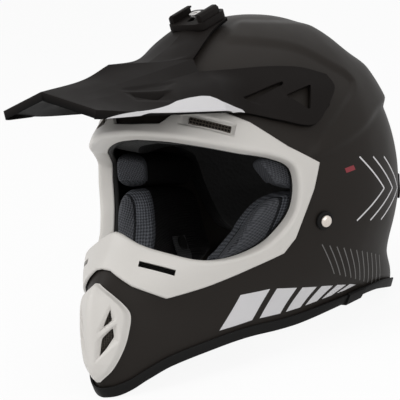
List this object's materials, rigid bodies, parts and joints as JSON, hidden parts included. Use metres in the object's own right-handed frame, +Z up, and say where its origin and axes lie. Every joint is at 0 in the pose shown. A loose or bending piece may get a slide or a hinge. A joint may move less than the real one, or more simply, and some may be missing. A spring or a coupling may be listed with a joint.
{
  "type": "motocross helmet",
  "caption": "Full-face off-road helmet with a tilting peak, camera slide, vented chin, white eyeport frame, foam liner, cheek pads and a chin strap with D-rings.",
  "frame": {"origin": "on the plane that the chin and nape rest on, under the middle of the head opening", "axes": "the face looks along -Y, the wearer's left is +X and +Z is up as the helmet stands on its rim"},
  "size_m": [0.2398, 0.3401, 0.2641],
  "materials": {
    "shell": "matte charcoal clear coat",
    "white": "satin white moulding",
    "rubber": "soft black rubber",
    "mesh": "black moulded plastic",
    "steel": "zinc plated",
    "foam": "black expanded foam",
    "cloth": "grey spacer mesh over foam",
    "webbing": "black woven webbing"
  },
  "bodies": {
    "helmet": {"outer_shell": "shell", "front_fascia": "white", "eyeport_seal": "rubber", "mouth_vent": "white", "mouth_vent_mesh": "mesh", "brow_vent_meshes": "mesh", "chin_slot_meshes": "mesh", "rear_vent_left": "shell", "rear_vent_right": "shell", "rim_trim": "rubber", "neck_trim": "rubber", "peak_nut": "steel", "peak_studs": "mesh", "impact_liner": "foam", "chin_foam": "foam", "crown_pad": "cloth", "side_pad_left": "cloth", "side_pad_right": "cloth", "cheek_pad_left": "cloth", "cheek_pad_right": "cloth", "pad_snaps": "mesh", "neck_roll": "cloth", "strap_left": "webbing", "strap_right": "webbing", "strap_snap": "mesh", "anchor_plates": "steel", "strap_rivets": "steel", "rivet_washers": "mesh"},
    "peak": {"peak": "shell", "camera_mount": "shell"},
    "screw": {"peak_screw": "steel"},
    "outer_ring": {"ring_outer": "steel"},
    "inner_ring": {"ring_inner": "steel"}
  },
  "joints": [
    {"name": "peak_tilt", "type": "hinge", "parent": "helmet", "child": "peak", "pos_m": [0, 0.04227, 0.18556], "axis": [-1, 0, 0], "range_deg": [0, 6]},
    {"name": "screw_turn", "type": "hinge", "parent": "helmet", "child": "screw", "pos_m": [0, 0.02863, 0.24644], "axis": [0, -0.1548, 0.9879], "continuous": true},
    {"name": "outer_ring_swing", "type": "hinge", "parent": "helmet", "child": "outer_ring", "pos_m": [0.06778, 0.01126, 0.03501], "axis": [0.2081, 0.9476, -0.2423], "range_deg": [-20, 0]},
    {"name": "inner_ring_swing", "type": "hinge", "parent": "helmet", "child": "inner_ring", "pos_m": [0.0627, 0.01237, 0.03501], "axis": [0.2081, 0.9476, -0.2423], "range_deg": [0, 60]}
  ]
}
